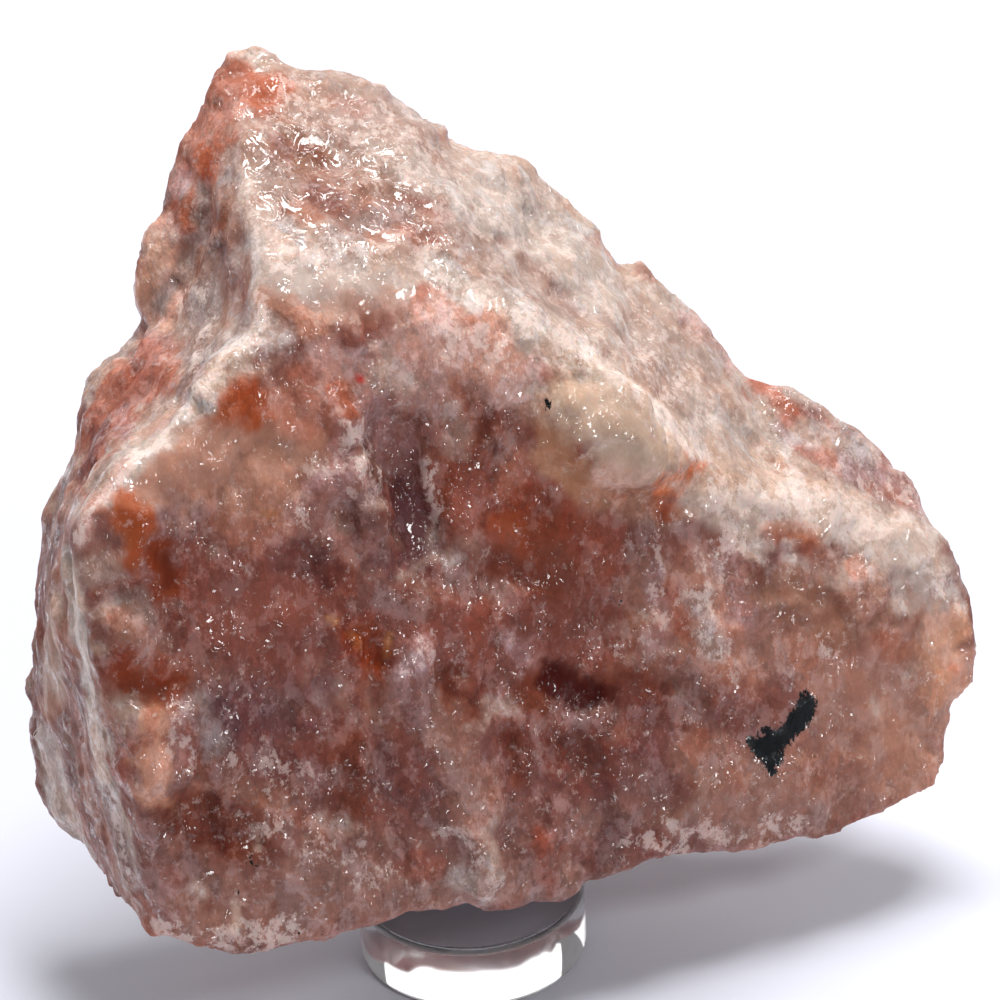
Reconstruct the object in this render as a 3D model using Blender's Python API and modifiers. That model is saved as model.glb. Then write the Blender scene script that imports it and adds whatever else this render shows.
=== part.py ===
"""Sunstone specimen resting on a clear acrylic display disc.

Metres, +Z up. The flat base of the disc lies on z = 0, and the origin is the middle of the base
of the whole object's box. -Y is the side of the stone that faces the viewer, with its long
sloping ridge running down towards +X.

The stone is one rough broken crystal mass. Its corners, ridges and lumps are landmarks. Those on
the side that is seen are given by column and row of a 1000 x 1000 view from the front, with either
their depth or how far they stand proud of a cleavage face. The landmarks of the back and the
underside are plain positions. A cage is drawn over all of them, meshed evenly, softened, and given
the small steps of feldspar cleavage.
"""
import math

import bmesh
import bpy
from mathutils import Vector, noise
from mathutils.geometry import delaunay_2d_cdt

MM = 0.001

# Display disc: a common 3/4 inch acrylic disc cut from 6 mm stock.
DISC_DIAMETER = 19.0 * MM
DISC_HEIGHT = 6.0 * MM
DISC_EDGE = 0.5 * MM
DISC_SIDES = 48
EDGE_STEPS = 3
RESTING_GAP = 0.3 * MM

# The view from which the landmarks were read.
VIEW_FRAME = 1000.0
VIEW_FOCAL_LENGTH = 4000.0
VIEW_SCALE = 12.0 / MM
VIEW_LOOKS_DOWN = math.radians(30.5)
VIEW_ROLL = math.radians(2.5)
DISC_TOP_COLUMN = 470.5
DISC_TOP_ROW = 882.0

# Cleavage faces: turned to the right of the viewer, rising above level, and a point, in mm.
FACES = {
    "front": (22.0, 13.0, (0.8, -13.5, 11.9)),
    "upper": (28.7, 63.6, (-13.7, -0.5, 66.1)),
    "slope": (77.0, 43.8, (3.5, 1.1, 61.6)),
}

# Depths start at an upright plane across the view, this many mm behind the disc's axis.
DEPTH_DATUM = -1.5

# Outline of the stone: column, row, and depth in mm.
OUTLINE = {
    "peak": [(230, 57, 18.5), (247, 51, 19.5), (275, 60, 19.0), (311, 75, 19.0), (350, 83, 19.0)],
    "top": [
        (385, 92, 19.0), (410, 105, 19.0), (431, 120, 18.5), (443, 124, 18.5), (451, 142, 18.5),
        (470, 151, 19.0), (495, 153, 19.5), (515, 156, 20.0), (534, 175, 20.5), (563, 193, 20.5),
        (580, 215, 20.5), (600, 232, 20.5), (616, 256, 20.0), (633, 256, 20.5), (652, 276, 20.5),
        (685, 304, 20.5), (713, 322, 20.0), (728, 352, 19.0), (742, 372, 18.5),
    ],
    "rear lobe": [
        (765, 381, 18.5), (803, 385, 18.0), (825, 400, 17.5), (843, 425, 17.0), (883, 448, 16.5),
        (908, 474, 16.0), (921, 500, 15.0),
    ],
    "right end": [
        (928, 515, 13.5), (948, 540, 12.5), (962, 575, 11.5), (972, 602, 10.5), (975, 640, 9.5),
        (972, 680, 8.5), (955, 706, 7.5), (951, 730, 7.0), (952, 752, 6.0), (944, 775, 5.0),
        (930, 796, 4.5), (914, 800, 3.5),
    ],
    "foot of the front": [
        (865, 824, 1.5), (820, 843, 0.0), (770, 848, -1.5), (720, 855, -3.0), (706, 850, -3.5),
        (690, 856, -4.0), (650, 858, -5.5), (616, 873, -6.5), (583, 884, -8.0), (552, 898, -9.0),
        (520, 903, -10.0), (488, 907, -11.0), (455, 903, -11.5), (410, 910, -12.5),
        (378, 922, -13.5), (345, 932, -14.5), (318, 942, -15.5), (285, 950, -16.5),
        (240, 951, -17.5), (205, 947, -18.0), (175, 939, -18.0), (152, 939, -17.5),
        (142, 928, -16.5),
    ],
    "left lobe": [
        (131, 905, -13.0), (117, 892, -9.0), (107, 875, -5.0), (90, 850, -1.5), (72, 838, 1.0),
        (50, 813, 3.0), (40, 800, 4.0), (32, 770, 5.0), (30, 735, 5.5), (31, 700, 6.0),
        (36, 670, 6.0), (37, 640, 6.5), (41, 590, 7.0), (46, 545, 7.5), (52, 505, 8.0),
        (58, 480, 8.0),
    ],
    "left shoulder": [
        (73, 456, 8.0), (77, 425, 8.5), (85, 398, 9.5), (100, 370, 10.5), (118, 350, 11.5),
        (138, 328, 12.0), (137, 308, 12.5), (133, 275, 13.0), (138, 245, 13.5), (152, 229, 14.0),
        (162, 213, 14.5), (173, 180, 15.5), (184, 149, 16.5), (200, 110, 17.5), (213, 80, 18.0),
    ],
}

# Ridge and valley lines inside the outline, each joined in order: column, row, depth in mm.
RIDGES = {
    "peak ridge": [(236, 92, 15.0), (238, 140, 10.5), (243, 190, 6.5), (250, 226, 3.5)],
    "brow": [
        (258, 250, 1.2), (290, 246, 1.4), (330, 243, 2.0), (372, 246, 2.5), (410, 252, 3.0),
        (440, 262, 3.2), (462, 272, 3.0),
    ],
    "long ridge": [
        (486, 283, 2.6), (515, 303, 2.6), (543, 308, 3.4), (563, 327, 3.2), (590, 345, 3.8),
        (612, 362, 3.8), (640, 386, 4.4), (668, 411, 4.6), (690, 437, 4.4), (707, 468, 4.0),
        (744, 495, 4.8), (770, 500, 6.0),
    ],
    "groove under the rear lobe": [
        (752, 440, 11.5), (779, 466, 11.0), (805, 470, 11.5), (829, 477, 11.8), (851, 498, 11.6),
        (891, 513, 12.2),
    ],
    "left crest": [
        (222, 353, -5.6), (207, 374, -6.6), (188, 408, -8.0), (167, 441, -9.4), (143, 455, -10.6),
        (119, 467, -11.8), (100, 497, -12.8), (84, 515, -13.4), (75, 532, -13.8), (78, 566, -14.6),
        (84, 610, -15.2), (97, 665, -16.0), (112, 720, -17.0), (130, 768, -17.8),
        (141, 820, -18.4), (148, 880, -18.2),
    ],
    "split behind the left crest": [
        (68, 540, -8.6), (58, 590, -8.6), (57, 640, -9.0), (66, 672, -9.6), (78, 706, -10.6),
        (86, 750, -11.4), (99, 800, -12.4), (114, 850, -13.4), (126, 885, -14.4),
    ],
    "valley on the flank": [
        (168, 322, 8.5), (184, 300, 8.0), (196, 268, 8.2), (203, 236, 9.0), (212, 205, 9.6),
        (185, 340, 4.0), (196, 372, -2.0),
    ],
}

# Lumps, and the hollows between them: column, row, and depth in mm.
LUMPS = {
    "rear lobe": [
        (760, 405, 16.0), (800, 415, 15.5), (840, 450, 14.8), (790, 440, 14.0), (870, 475, 14.4),
        (895, 492, 14.2), (825, 460, 13.6),
    ],
    "cream shoulder": [
        (790, 492, 8.2), (829, 498, 9.4), (865, 518, 10.0), (905, 530, 11.0), (935, 548, 11.0),
        (800, 520, 6.6), (845, 540, 7.6), (885, 560, 8.2), (930, 590, 9.2),
    ],
    "left lobe": [
        (50, 560, 0.0), (46, 625, -0.6), (50, 680, -1.5), (46, 730, 0.5), (68, 730, -5.5),
        (55, 780, -0.5), (78, 800, -6.0), (84, 830, -5.0), (104, 852, -9.0),
    ],
    "shoulder lumps": [
        (64, 495, 1.5), (76, 478, -1.0), (94, 458, -4.0), (95, 430, 1.5), (118, 440, -4.5),
        (112, 400, 3.5), (140, 425, -3.0), (132, 370, 5.0), (155, 395, -0.5), (165, 350, 4.0),
        (172, 378, -1.0), (150, 340, 8.0), (178, 405, -5.6),
    ],
    "outer flank": [
        (155, 275, 11.0), (165, 245, 12.0), (176, 222, 12.6), (188, 180, 13.6), (205, 150, 13.6),
        (214, 110, 15.2), (222, 175, 10.4), (222, 138, 12.6),
    ],
    "smooth hollow on the flank": [
        (202, 318, 4.2), (222, 300, 3.6), (216, 262, 6.4), (206, 345, 0.0), (228, 330, 0.0),
        (232, 250, 5.2), (246, 300, -0.8), (228, 215, 7.2), (240, 275, 1.6),
    ],
}

# Points on the cleavage faces: column, row, and mm that they stand proud of the face.
ON_FACES = {
    "upper": [
        (262, 100, 0.3), (310, 112, 0.0), (360, 122, 0.2), (412, 142, 0.4), (270, 150, 0.2),
        (320, 165, -0.5), (372, 172, 0.2), (425, 185, 0.0), (275, 200, -0.1), (330, 205, 0.3),
        (385, 212, -0.4), (435, 228, -0.2), (455, 250, 0.0),
    ],
    "slope": [
        (482, 190, 0.0), (468, 220, -0.3), (490, 245, -0.6), (512, 205, 0.5), (525, 245, 0.4),
        (540, 282, -0.7), (550, 222, -0.4), (575, 262, 0.6), (580, 310, -0.8), (600, 270, 0.0),
        (615, 315, 0.5), (630, 350, -0.6), (640, 305, -0.4), (660, 345, 0.5), (675, 385, -0.6),
        (690, 340, 0.2), (705, 385, 0.6), (712, 425, -0.4), (745, 412, 0.0), (748, 455, -0.2),
        (735, 470, -0.6), (762, 478, -0.4),
    ],
    "front": [
        (262, 305, -2.4), (300, 300, -1.7), (345, 296, -1.5), (395, 296, -1.3), (440, 300, -0.9),
        (480, 312, 0.2), (245, 350, -0.6), (290, 345, -1.0), (332, 336, -1.4), (370, 350, -1.2),
        (405, 343, -0.6), (445, 340, 0.0), (490, 345, 0.6), (530, 337, 1.0),
        (235, 395, -0.3), (290, 395, -0.8), (345, 390, -0.7), (400, 388, -0.5), (455, 380, 0.2),
        (500, 388, 0.8), (545, 368, 1.2), (588, 378, 1.3), (622, 396, 1.2), (540, 408, 1.2),
        (578, 412, 2.2), (615, 425, 2.4), (650, 432, 1.7), (562, 442, 1.2), (592, 453, 1.9),
        (622, 470, 2.2), (655, 472, 1.8), (688, 462, 1.0), (574, 468, -0.1), (602, 494, 0.0),
        (642, 504, 0.2), (682, 492, 0.4), (715, 502, 0.6),
        (190, 440, 0.6), (245, 445, 0.0), (300, 435, -0.4), (350, 428, 0.0), (430, 412, -0.3),
        (480, 425, -0.2), (520, 435, -0.1), (360, 455, 0.5), (372, 485, 0.4), (386, 515, 0.3),
        (394, 548, 0.0), (367, 438, -1.6), (381, 462, -2.4), (393, 492, -2.6), (403, 522, -2.4),
        (409, 548, -1.8), (403, 444, -2.2), (416, 480, -2.2), (426, 520, -1.7), (432, 556, -1.3),
        (438, 434, -0.7), (448, 470, -0.8), (454, 512, -0.8), (460, 550, -1.0),
        (499, 470, -1.0), (502, 520, -1.2), (498, 565, -1.2), (404, 572, -0.9), (424, 586, -0.9),
        (450, 594, -0.8), (487, 597, -0.7), (530, 600, -0.5), (402, 586, 0.3), (425, 600, 0.4),
        (458, 607, 0.4), (500, 611, 0.3), (545, 500, -0.8), (550, 560, -0.8), (600, 550, -0.6),
        (655, 545, -0.3), (705, 545, 0.2),
        (150, 485, 0.5), (205, 500, 0.2), (260, 500, 0.4), (320, 500, 0.3), (110, 530, 0.2),
        (142, 520, 1.0), (145, 565, 1.1), (178, 545, 0.2), (105, 585, 0.0), (130, 600, 0.3),
        (128, 630, 1.1), (158, 612, 0.0), (150, 660, 0.0), (130, 675, -0.5), (165, 690, -0.4),
        (142, 715, 0.8), (165, 765, 1.2), (188, 715, 0.5), (192, 780, 0.2), (180, 810, -0.2),
        (250, 560, 0.1), (330, 560, 0.0), (230, 640, 0.2), (320, 625, 0.6), (370, 640, 0.7),
        (280, 700, -0.2), (340, 700, 0.1), (405, 680, 0.8), (455, 680, -0.2), (540, 670, -0.7),
        (595, 690, -0.9), (650, 690, -0.3), (700, 640, 0.4), (745, 580, 1.0), (745, 650, 0.3),
        (795, 600, 0.8), (850, 620, 0.2), (905, 640, -0.6), (800, 700, 0.5), (870, 710, 0.0),
        (915, 720, -1.0), (240, 770, 0.2), (320, 760, -0.2), (380, 750, -0.3), (440, 750, 0.6),
        (490, 760, 0.6), (545, 760, -0.5), (610, 760, -0.1), (680, 750, 0.3), (740, 730, 0.1),
        (205, 850, -0.5), (275, 830, 0.5), (340, 830, -0.1), (400, 830, -0.3), (450, 840, 0.3),
        (488, 850, 0.9), (530, 850, 0.2), (580, 830, -0.5), (640, 815, 0.0), (710, 800, 0.1),
        (780, 785, 0.3), (850, 780, -0.4), (895, 772, -1.2), (180, 895, -0.9), (240, 905, -0.5),
        (310, 900, -0.3), (380, 885, -0.4), (430, 882, -0.1), (540, 880, -0.3), (600, 855, -0.7),
        (670, 838, -0.4), (740, 832, -0.6), (810, 822, -0.8), (162, 924, -2.0),
    ],
}

# The hidden side and the underside: mm to the right, behind and up from the disc's base.
HIDDEN = {
    "back of the peak": [
        (-19.0, 18.5, 65.5), (-12.0, 21.5, 66.5), (-5.0, 21.0, 64.5), (2.5, 21.5, 60.5),
        (-18.5, 17.5, 57.0), (-9.5, 22.5, 57.0), (0.0, 20.5, 55.5), (8.5, 22.0, 53.5),
    ],
    "upper back": [
        (-25.0, 12.5, 50.0), (-20.0, 15.0, 46.5), (-12.5, 21.0, 47.5), (-3.0, 19.0, 46.0),
        (5.0, 20.0, 45.0), (11.0, 22.5, 44.5), (18.0, 21.5, 43.5), (24.5, 17.5, 37.5),
        (32.0, 18.5, 35.0),
    ],
    "middle back": [
        (-30.5, 8.5, 38.0), (-24.5, 10.5, 35.5), (-17.0, 17.0, 37.5), (-10.0, 14.5, 32.5),
        (-2.5, 18.0, 35.0), (5.5, 16.5, 33.5), (13.5, 20.5, 34.5), (19.5, 16.5, 30.5),
        (27.0, 18.0, 28.5), (35.0, 16.0, 28.0), (40.0, 13.0, 27.0), (-33.0, 5.5, 27.0),
    ],
    "lower back": [
        (-29.5, 5.5, 21.5), (-22.5, 9.5, 26.0), (-17.0, 8.0, 19.5), (-9.5, 12.5, 23.0),
        (-1.5, 14.5, 21.5), (7.0, 16.5, 24.0), (13.0, 14.5, 19.0), (22.5, 15.5, 20.5),
        (31.0, 12.5, 18.5), (39.5, 10.0, 16.5),
    ],
    "foot of the back": [
        (-31.0, 2.5, 15.5), (-24.0, 4.0, 13.0), (-14.5, 9.5, 11.5), (-3.0, 16.0, 9.6),
        (8.5, 16.5, 9.4), (19.0, 13.0, 9.8), (29.0, 10.0, 10.5), (36.0, 7.5, 11.5),
    ],
    "underside": [
        (-24.0, -10.5, 15.5), (-26.5, -4.5, 14.0), (-17.5, -12.0, 12.6), (-19.0, -3.0, 10.0),
        (-10.5, -10.5, 10.8), (0.5, -8.5, 11.0), (10.5, -5.0, 10.4), (21.5, -1.0, 10.2),
        (30.0, 3.0, 10.4), (22.0, 6.0, 8.8), (-12.5, 3.0, 7.8), (-6.0, 11.0, 7.4),
    ],
    "resting patch": [
        (-9.5, -4.5, 6.6), (0.0, -1.5, 6.5), (9.5, 0.5, 6.5), (9.5, 5.0, 6.4),
        (1.0, 6.5, 6.4), (-8.5, 2.5, 6.4), (0.0, 12.5, 6.7), (7.0, 13.5, 6.9),
    ],
}

# Body of the stone
RIM_THICKNESS = 2.0 * MM
EDGE_ALLOWANCE = 0.35 * MM
EVEN_MESH_SIZE = 0.8 * MM
SOFTENING_FACTOR = 0.5
SOFTENING_PASSES = 2
STONE_TRIANGLES = 9000
CRISP_EDGE_ANGLE = math.radians(20)

# Triangulation: keep what is inside the outline, and join points nearer than this in the view.
INSIDE_OUTLINE = 1
SAME_PLACE = 0.01

# Cleavage steps: flat cells of the crystal, long up the face and thin out of it.
GRAIN_LENGTHS = Vector((4.6, 9.0, 2.2)) * MM
LEDGE_HEIGHT = 0.38 * MM
LEDGE_LEAN = 0.35 * MM
LEDGE_EDGE = 0.25
CELL_PICKS = (7.0, 3.0, 5.0)
SEED_SHIFT = Vector((3.7, 11.2, 5.9))

# Soft unevenness
LUMP_SIZE = 7.0 * MM
LUMP_HEIGHT = 0.24 * MM
LUMP_SMOOTHNESS = 0.9
LUMP_FINENESS = 2.0
LUMP_LAYERS = 3


def clear_scene():
    """Start from nothing, so that only the object is left."""
    for item in list(bpy.data.objects):
        bpy.data.objects.remove(item, do_unlink=True)


def make_material(name, colour, roughness, **inputs):
    """A Principled surface with the given colour, roughness and further inputs."""
    material = bpy.data.materials.new(name)
    material.use_nodes = True
    shader = material.node_tree.nodes["Principled BSDF"]
    shader.inputs["Base Color"].default_value = (*colour, 1.0)
    shader.inputs["Roughness"].default_value = roughness
    for label, value in inputs.items():
        shader.inputs[label.replace("_", " ")].default_value = value
    return material


def add_object(name, mesh, material, collection):
    """Put a mesh in the collection as one named sub-part."""
    item = bpy.data.objects.new(name, mesh)
    item.data.materials.clear()
    item.data.materials.append(material)
    collection.objects.link(item)
    return item


def rounded_corner(corner, radius, start_angle, end_angle):
    """Points of a quarter arc of the disc's profile: x is the radius out, z is up."""
    centre_x, centre_z = corner
    points = []
    for step in range(EDGE_STEPS + 1):
        angle = math.radians(start_angle + (end_angle - start_angle) * step / EDGE_STEPS)
        points.append((centre_x + radius * math.cos(angle), centre_z + radius * math.sin(angle)))
    return points


def disc_profile():
    """Half section of the disc, from its axis over the top, down its side and back to the axis."""
    flat_radius = DISC_DIAMETER / 2 - DISC_EDGE
    return (
        [(0.0, DISC_HEIGHT)]
        + rounded_corner((flat_radius, DISC_HEIGHT - DISC_EDGE), DISC_EDGE, 90, 0)
        + rounded_corner((flat_radius, DISC_EDGE), DISC_EDGE, 0, -90)
        + [(0.0, 0.0)]
    )


def make_disc(collection):
    """The clear disc, turned from its half section."""
    mesh = bpy.data.meshes.new("disc_stand")
    section = bmesh.new()
    corners = [section.verts.new((x, 0.0, z)) for x, z in disc_profile()]
    for corner, following in zip(corners, corners[1:]):
        section.edges.new((corner, following))
    section.to_mesh(mesh)
    section.free()
    material = make_material("clear_acrylic", (0.97, 0.98, 0.98), 0.03, IOR=1.49,
                             Transmission_Weight=1.0)
    disc = add_object("disc_stand", mesh, material, collection)
    turn = disc.modifiers.new("turned", "SCREW")
    turn.axis = "Z"
    turn.steps = DISC_SIDES
    turn.render_steps = DISC_SIDES
    turn.use_merge_vertices = True
    turn.merge_threshold = 0.01 * MM
    turn.use_smooth_shade = True
    return disc


def view_axes():
    """The view's right, up and forward directions."""
    level_right = Vector((1.0, 0.0, 0.0))
    level_up = Vector((0.0, math.sin(VIEW_LOOKS_DOWN), math.cos(VIEW_LOOKS_DOWN)))
    forward = Vector((0.0, math.cos(VIEW_LOOKS_DOWN), -math.sin(VIEW_LOOKS_DOWN)))
    right = level_right * math.cos(VIEW_ROLL) - level_up * math.sin(VIEW_ROLL)
    up = level_right * math.sin(VIEW_ROLL) + level_up * math.cos(VIEW_ROLL)
    return right, up, forward


def view_point():
    """Where the view is seen from, with the middle of the disc's top in its place."""
    right, up, forward = view_axes()
    distance = VIEW_FOCAL_LENGTH / VIEW_SCALE
    across = (DISC_TOP_COLUMN - VIEW_FRAME / 2) / VIEW_SCALE
    below = (DISC_TOP_ROW - VIEW_FRAME / 2) / VIEW_SCALE
    return Vector((0.0, 0.0, DISC_HEIGHT)) - forward * distance - right * across + up * below


def sight_line(column, row):
    """Direction from the view point through a place in the view."""
    right, up, forward = view_axes()
    across = (column - VIEW_FRAME / 2) / VIEW_FOCAL_LENGTH
    below = (row - VIEW_FRAME / 2) / VIEW_FOCAL_LENGTH
    return forward + right * across - up * below


def seen_at_depth(column, row, depth):
    """The point seen at a place in the view, at a given depth in mm."""
    eye = view_point()
    line = sight_line(column, row)
    return eye + line * (((DEPTH_DATUM + depth) * MM - eye.y) / line.y)


def facing(turned, rising):
    """Outward direction of a face from its two angles in degrees."""
    turned = math.radians(turned)
    rising = math.radians(rising)
    return Vector((math.sin(turned) * math.cos(rising), -math.cos(turned) * math.cos(rising),
                   math.sin(rising)))


def seen_on_face(face, column, row, proud):
    """The point seen at a place in the view, standing proud of a cleavage face."""
    turned, rising, through = FACES[face]
    outward = facing(turned, rising)
    eye = view_point()
    line = sight_line(column, row)
    on_face = Vector(through) * MM + outward * proud * MM
    return eye + line * ((on_face - eye).dot(outward) / line.dot(outward))


def place_in_view(point):
    """Where a point is seen in the view: column, and row counted upwards."""
    right, up, forward = view_axes()
    offset = point - view_point()
    return Vector((offset.dot(right), offset.dot(up))) * (VIEW_FOCAL_LENGTH / offset.dot(forward))


def chain(first, count):
    """Index pairs that join a run of landmarks in order."""
    return [(index, index + 1) for index in range(first, first + count - 1)]


def stone_outline():
    """The outline's points, each set outwards by what the softening takes off an edge."""
    forward = view_axes()[2]
    points = [seen_at_depth(*place) for run in OUTLINE.values() for place in run]
    widened = []
    for index, point in enumerate(points):
        along = points[(index + 1) % len(points)] - points[index - 1]
        widened.append(point + along.cross(forward).normalized() * EDGE_ALLOWANCE)
    return widened


def visible_landmarks():
    """Points inside the outline on the side that is seen, and the ridge lines that join them."""
    points = []
    lines = []
    for run in RIDGES.values():
        lines += chain(len(points), len(run))
        points += [seen_at_depth(*place) for place in run]
    for run in LUMPS.values():
        points += [seen_at_depth(*place) for place in run]
    for face, run in ON_FACES.items():
        points += [seen_on_face(face, *place) for place in run]
    return points, lines


def hidden_landmarks():
    """Points of the back and the underside."""
    return [Vector(place) * MM for run in HIDDEN.values() for place in run]


def cover(cage, rim, points, lines):
    """Triangles over one side of the stone, from the rim inwards, as the view shows them."""
    corners = rim + [cage.verts.new(point) for point in points]
    places = [place_in_view(corner.co) for corner in corners]
    joined = [(first + len(rim), second + len(rim)) for first, second in lines]
    _, _, triangles, sources, _, _ = delaunay_2d_cdt(places, joined, [range(len(rim))],
                                                     INSIDE_OUTLINE, SAME_PLACE)
    return [[corners[sources[index][0]] for index in triangle] for triangle in triangles]


def stone_cage():
    """Triangles over all landmarks, the seen side and the hidden side meeting at the outline."""
    cage = bmesh.new()
    behind = view_axes()[2] * RIM_THICKNESS
    rim = [cage.verts.new(point) for point in stone_outline()]
    for corners in cover(cage, rim, *visible_landmarks()):
        cage.faces.new(corners)
    for corners in cover(cage, rim, hidden_landmarks(), []):
        if all(corner in rim for corner in corners):
            tip = cage.verts.new(sum((corner.co for corner in corners), Vector()) / 3 + behind)
            for first, second in zip(corners, corners[1:] + corners[:1]):
                cage.faces.new((first, second, tip))
        else:
            cage.faces.new(corners)
    bmesh.ops.recalc_face_normals(cage, faces=cage.faces)
    mesh = bpy.data.meshes.new("stone_cage")
    cage.to_mesh(mesh)
    cage.free()
    return mesh


def evaluated_mesh(item):
    """The object's mesh with its modifiers in force."""
    depsgraph = bpy.context.evaluated_depsgraph_get()
    return bpy.data.meshes.new_from_object(item.evaluated_get(depsgraph))


def crystal_axes():
    """Across and up the front cleavage face, and straight out of it."""
    turned, rising, _ = FACES["front"]
    outward = facing(turned, rising)
    across = outward.cross(Vector((0.0, 0.0, 1.0))).normalized()
    return across, across.cross(outward), outward


def ledge(point, axes):
    """Height of the cleavage steps at a point: each cell has its own drop and lean."""
    place = Vector([point.dot(axis) / length for axis, length in zip(axes, GRAIN_LENGTHS)])
    place += SEED_SHIFT
    distances, centres = noise.voronoi(place)
    drop, lean_across, lean_up = [noise.cell(centres[0] * pick) for pick in CELL_PICKS]
    from_centre = place - centres[0]
    lean = from_centre.x * lean_across + from_centre.y * lean_up
    inside = min(1.0, (distances[1] - distances[0]) / LEDGE_EDGE)
    return (drop * LEDGE_HEIGHT + lean * LEDGE_LEAN) * inside


def add_relief(mesh):
    """Move the surface in and out by cleavage steps and softer lumps."""
    axes = crystal_axes()
    moved = []
    for vertex in mesh.vertices:
        lump = noise.fractal(vertex.co / LUMP_SIZE + SEED_SHIFT, LUMP_SMOOTHNESS, LUMP_FINENESS,
                             LUMP_LAYERS)
        moved.append(vertex.co + vertex.normal * (ledge(vertex.co, axes) + lump * LUMP_HEIGHT))
    for vertex, place in zip(mesh.vertices, moved):
        vertex.co = place


def keep_off_disc(mesh):
    """Lift whatever would reach the disc's top, leaving the resting gap."""
    lowest = DISC_HEIGHT + RESTING_GAP
    for vertex in mesh.vertices:
        vertex.co.z = max(vertex.co.z, lowest)


def make_stone(collection):
    """The stone as one solid."""
    material = make_material("sunstone", (0.55, 0.27, 0.19), 0.3, IOR=1.54)
    rough = add_object("stone_cage", stone_cage(), material, collection)
    even = rough.modifiers.new("even", "REMESH")
    even.mode = "VOXEL"
    even.voxel_size = EVEN_MESH_SIZE
    soften = rough.modifiers.new("soften", "SMOOTH")
    soften.factor = SOFTENING_FACTOR
    soften.iterations = SOFTENING_PASSES
    fine = evaluated_mesh(rough)
    rough.modifiers.clear()
    add_relief(fine)
    fine.calc_loop_triangles()
    rough.data = fine
    thin = rough.modifiers.new("thin", "DECIMATE")
    thin.ratio = STONE_TRIANGLES / len(fine.loop_triangles)
    mesh = evaluated_mesh(rough)
    bpy.data.objects.remove(rough, do_unlink=True)
    keep_off_disc(mesh)
    mesh.name = "sunstone"
    mesh.shade_smooth()
    mesh.set_sharp_from_angle(angle=CRISP_EDGE_ANGLE)
    return add_object("sunstone", mesh, material, collection)


def centre_on_origin(items):
    """Move the whole object so that the middle of its box's base is the origin."""
    corners = []
    for item in items:
        mesh = evaluated_mesh(item)
        corners += [vertex.co.copy() for vertex in mesh.vertices]
        bpy.data.meshes.remove(mesh)
    low = Vector([min(corner[axis] for corner in corners) for axis in range(3)])
    high = Vector([max(corner[axis] for corner in corners) for axis in range(3)])
    shift = Vector((-(low.x + high.x) / 2, -(low.y + high.y) / 2, -low.z))
    for item in items:
        item.location = shift


clear_scene()
specimen = bpy.data.collections.new("sunstone_on_disc")
bpy.context.scene.collection.children.link(specimen)
stone = make_stone(specimen)
disc = make_disc(specimen)
centre_on_origin([stone, disc])
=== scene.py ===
"""Looks of a rough sunstone that rests on a clear display disc."""
import math

import bpy
import numpy as np
from mathutils import Matrix, Vector, noise
from mathutils.bvhtree import BVHTree


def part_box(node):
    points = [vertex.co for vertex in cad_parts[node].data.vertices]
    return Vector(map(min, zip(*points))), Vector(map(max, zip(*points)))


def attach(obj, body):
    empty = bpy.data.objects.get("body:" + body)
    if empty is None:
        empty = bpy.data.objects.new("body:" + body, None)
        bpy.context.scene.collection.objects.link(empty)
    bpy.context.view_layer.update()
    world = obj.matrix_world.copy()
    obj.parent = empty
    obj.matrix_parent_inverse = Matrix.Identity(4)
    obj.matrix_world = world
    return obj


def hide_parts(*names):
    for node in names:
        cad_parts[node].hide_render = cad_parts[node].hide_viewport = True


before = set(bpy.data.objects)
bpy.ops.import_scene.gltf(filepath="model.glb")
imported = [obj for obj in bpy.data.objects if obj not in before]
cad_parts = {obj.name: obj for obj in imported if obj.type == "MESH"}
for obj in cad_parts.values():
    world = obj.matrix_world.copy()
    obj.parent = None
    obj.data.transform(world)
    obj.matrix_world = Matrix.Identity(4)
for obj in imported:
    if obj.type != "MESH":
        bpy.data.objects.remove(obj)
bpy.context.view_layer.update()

# Camera
# A long lens looks down on the stone from in front, turned a little clockwise. The middle of the
# disc's top has a known place in the picture, which is 1000 pixels wide and high.
PICTURE_MIDDLE = 500.0
LENS_PX = 4000.0
PX_PER_METRE = 12000.0
LOOKS_DOWN = math.radians(30.5)
ROLL = math.radians(2.5)
DISC_TOP_COLUMN = 470.5
DISC_TOP_ROW = 882.0
SENSOR_MM = 36.0

disc_low, disc_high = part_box("disc_stand")
disc_middle = (disc_low + disc_high) / 2
disc_top = Vector((disc_middle.x, disc_middle.y, disc_high.z))

level_right = Vector((1.0, 0.0, 0.0))
level_up = Vector((0.0, math.sin(LOOKS_DOWN), math.cos(LOOKS_DOWN)))
view_forward = Vector((0.0, math.cos(LOOKS_DOWN), -math.sin(LOOKS_DOWN)))
view_right = level_right * math.cos(ROLL) - level_up * math.sin(ROLL)
view_up = level_right * math.sin(ROLL) + level_up * math.cos(ROLL)
eye = (
    disc_top
    - view_forward * LENS_PX / PX_PER_METRE
    - view_right * (DISC_TOP_COLUMN - PICTURE_MIDDLE) / PX_PER_METRE
    + view_up * (DISC_TOP_ROW - PICTURE_MIDDLE) / PX_PER_METRE
)

bpy.ops.object.select_all(action="DESELECT")
bpy.ops.object.camera_add()
camera = bpy.context.object
camera.data.sensor_width = SENSOR_MM
camera.data.lens = SENSOR_MM * LENS_PX / (2 * PICTURE_MIDDLE)
camera.data.clip_start = 0.01
camera.matrix_world = Matrix.Translation(eye) @ Matrix(
    (view_right, view_up, -view_forward)
).transposed().to_4x4()
bpy.context.scene.camera = camera


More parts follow.
